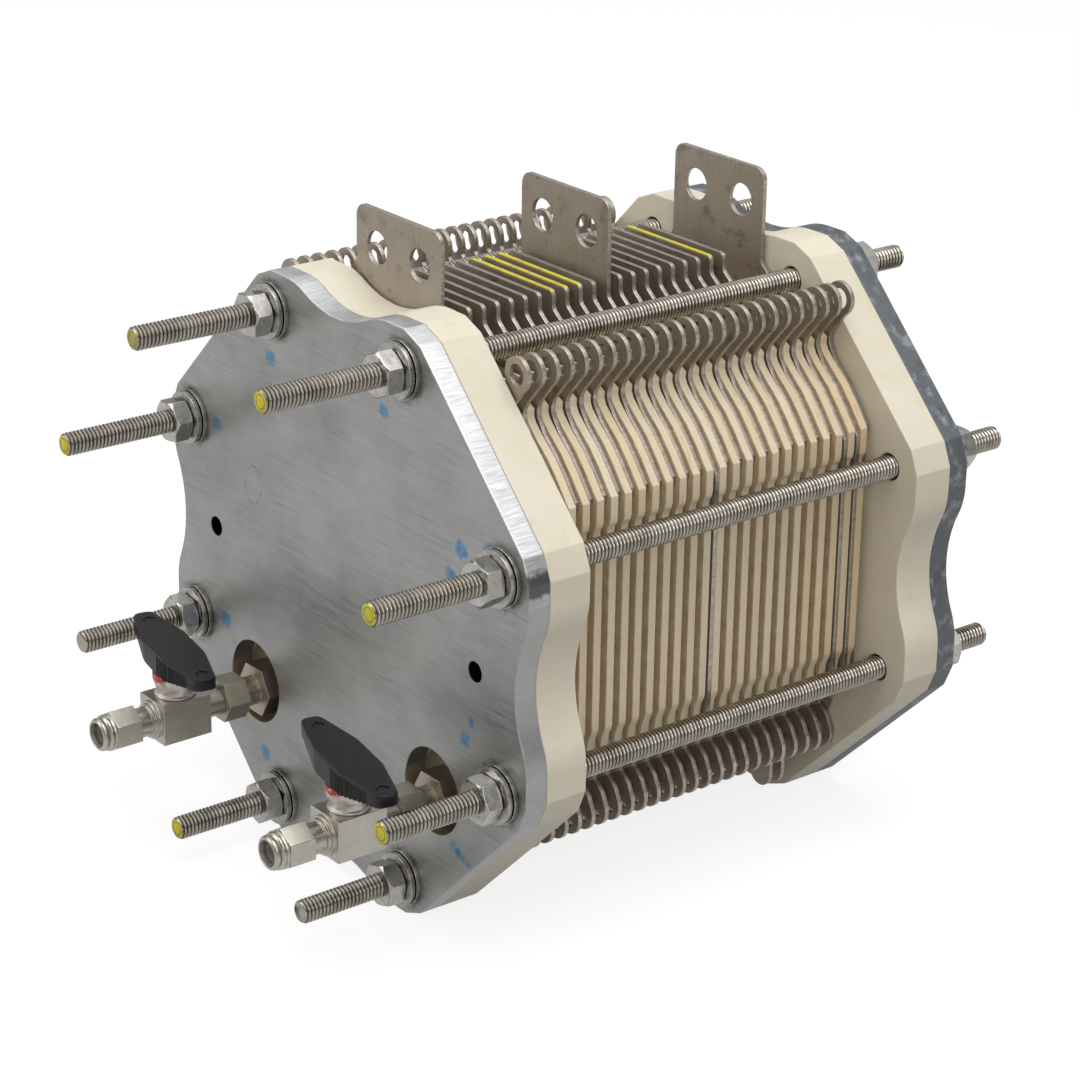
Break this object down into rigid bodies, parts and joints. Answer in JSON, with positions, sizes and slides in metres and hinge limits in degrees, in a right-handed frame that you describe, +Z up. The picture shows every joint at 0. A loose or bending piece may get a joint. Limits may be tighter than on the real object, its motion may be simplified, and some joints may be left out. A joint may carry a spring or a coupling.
{
  "type": "water electrolyzer",
  "caption": "Filter-press water electrolyser stack of finned metal plates and plastic cell frames, clamped by threaded tie rods, with ball valves at the front and terminal tabs on top.",
  "frame": {"origin": "on the floor below the middle of the footprint, rods' and valves' ends included", "axes": "+Z up, +Y along the stack from the valves to the rear, +X to the right seen from the valves"},
  "size_m": [0.25, 0.3364, 0.2775],
  "materials": {
    "milled_plate": "brushed, lightly marked",
    "coated_plate": "dull, mottled",
    "insulating_plate": "machined, matte",
    "cell_frame": "matte, stained",
    "gasket": "matte",
    "diaphragm": "woven",
    "mesh": "open mesh",
    "cell_metal": "heat-stained, dull",
    "rod_steel": "threaded, some ends painted yellow",
    "fasteners": "plain",
    "valve_metal": "satin",
    "indicator": "gloss",
    "handle": "fine moulded grain"
  },
  "bodies": {
    "stack": {"front_end_plate": "milled_plate", "rear_end_plate": "coated_plate", "front_insulator": "insulating_plate", "rear_insulator": "insulating_plate", "front_nuts": "fasteners", "rear_nuts": "fasteners", "front_disc_springs": "fasteners", "rear_disc_springs": "fasteners", "front_washers": "fasteners", "rear_washers": "fasteners", "cell_frames": "cell_frame", "cell_gaskets": "gasket", "end_gaskets": "gasket", "diaphragms": "diaphragm", "mesh_electrodes": "mesh", "left_valve_body": "valve_metal", "right_valve_body": "valve_metal", "valve_tube_nuts": "valve_metal", "port_fittings": "valve_metal", "valve_bonnets": "valve_metal", "indicator_rings": "indicator", "bipolar_plate_2": "cell_metal", "bipolar_plate_3": "cell_metal", "bipolar_plate_4": "cell_metal", "bipolar_plate_5": "cell_metal", "bipolar_plate_6": "cell_metal", "bipolar_plate_7": "cell_metal", "bipolar_plate_8": "cell_metal", "bipolar_plate_9": "cell_metal", "bipolar_plate_10": "cell_metal", "bipolar_plate_11": "cell_metal", "bipolar_plate_12": "cell_metal", "bipolar_plate_14": "cell_metal", "bipolar_plate_15": "cell_metal", "bipolar_plate_16": "cell_metal", "bipolar_plate_17": "cell_metal", "bipolar_plate_18": "cell_metal", "bipolar_plate_19": "cell_metal", "bipolar_plate_20": "cell_metal", "bipolar_plate_21": "cell_metal", "bipolar_plate_22": "cell_metal", "bipolar_plate_23": "cell_metal", "bipolar_plate_24": "cell_metal", "front_terminal_plate": "cell_metal", "middle_terminal_plate": "cell_metal", "rear_terminal_plate": "cell_metal", "tie_rod_1": "rod_steel", "tie_rod_2": "rod_steel", "tie_rod_3": "rod_steel", "tie_rod_4": "rod_steel", "tie_rod_5": "rod_steel", "tie_rod_6": "rod_steel", "tie_rod_7": "rod_steel", "tie_rod_8": "rod_steel"},
    "left_handle_body": {"left_handle": "handle", "left_valve_stem": "valve_metal"},
    "right_handle_body": {"right_handle": "handle", "right_valve_stem": "valve_metal"}
  },
  "joints": [
    {"name": "left_handle_turn", "type": "hinge", "parent": "stack", "child": "left_handle_body", "pos_m": [-0.064, -0.13025, 0.0793], "axis": [0, 0, -1], "range_deg": [-10.6, 79.4]},
    {"name": "right_handle_turn", "type": "hinge", "parent": "stack", "child": "right_handle_body", "pos_m": [0.064, -0.13025, 0.0793], "axis": [0, 0, -1], "range_deg": [-10.6, 79.4]}
  ]
}
